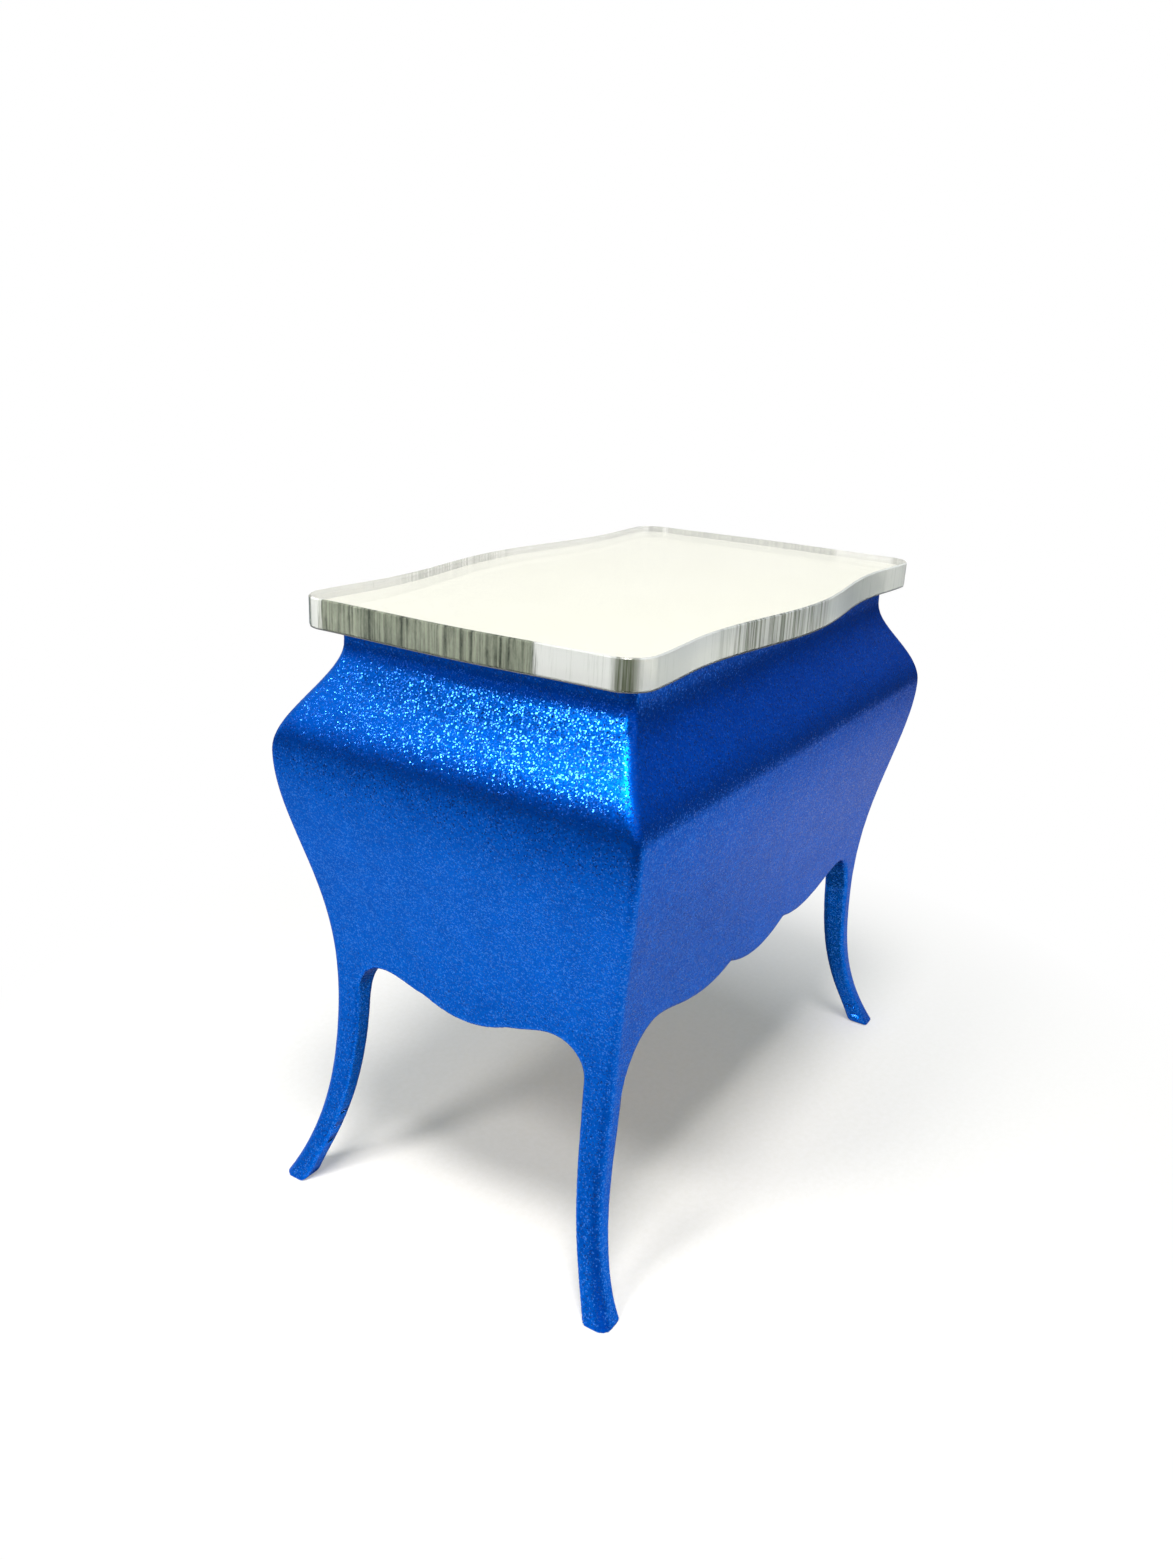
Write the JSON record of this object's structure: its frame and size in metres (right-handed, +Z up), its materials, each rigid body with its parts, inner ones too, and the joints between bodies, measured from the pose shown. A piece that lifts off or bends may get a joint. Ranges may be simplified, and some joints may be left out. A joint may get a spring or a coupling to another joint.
{
  "type": "miniature chest of drawers",
  "caption": "Miniature bombe chest of drawers with swollen sides, scalloped aprons, outswept cabriole legs, sliding drawers and a mirrored acrylic top.",
  "frame": {"origin": "on the floor, at the middle of the bottom of the bounding box, knobs included", "axes": "+X along the length of the case, +Y towards its back, +Z up; the drawers open towards -Y"},
  "size_m": [0.0728, 0.0454, 0.0652],
  "materials": {
    "blue_paint": "wood under sprayed metallic blue paint, satin with fine glitter",
    "bare_wood": "bare sanded light wood",
    "clear_acrylic": "clear polished acrylic sheet with laser-cut edges",
    "mirror_coating": "mirror coating with its backing, on the underside of the sheet",
    "knob_brass": "polished turned brass"
  },
  "bodies": {
    "case": {"mirror_top_sheet": "clear_acrylic", "mirror_coating": "mirror_coating", "top_board": "blue_paint", "corner_post_back_right": "blue_paint", "corner_post_back_left": "blue_paint", "corner_post_front_right": "blue_paint", "corner_post_front_left": "blue_paint", "end_panel_right": "blue_paint", "end_panel_left": "blue_paint", "back_panel": "blue_paint", "front_top_rail": "blue_paint", "front_middle_rail": "blue_paint", "front_apron": "blue_paint", "dust_board": "bare_wood", "bottom_board": "bare_wood"},
    "upper_drawer": {"upper_drawer_front": "blue_paint", "upper_drawer_side_right": "bare_wood", "upper_drawer_side_left": "bare_wood", "upper_drawer_back": "bare_wood", "upper_drawer_bottom": "bare_wood", "upper_knob_right": "knob_brass", "upper_knob_left": "knob_brass"},
    "lower_drawer": {"lower_drawer_front": "blue_paint", "lower_drawer_side_right": "bare_wood", "lower_drawer_side_left": "bare_wood", "lower_drawer_back": "bare_wood", "lower_drawer_bottom": "bare_wood", "lower_knob_right": "knob_brass", "lower_knob_left": "knob_brass"}
  },
  "joints": [
    {"name": "upper_drawer_slide", "type": "slide", "parent": "case", "child": "upper_drawer", "axis": [0, -1, 0], "range_m": [0, 0.02]},
    {"name": "lower_drawer_slide", "type": "slide", "parent": "case", "child": "lower_drawer", "axis": [0, -1, 0], "range_m": [0, 0.02]}
  ]
}
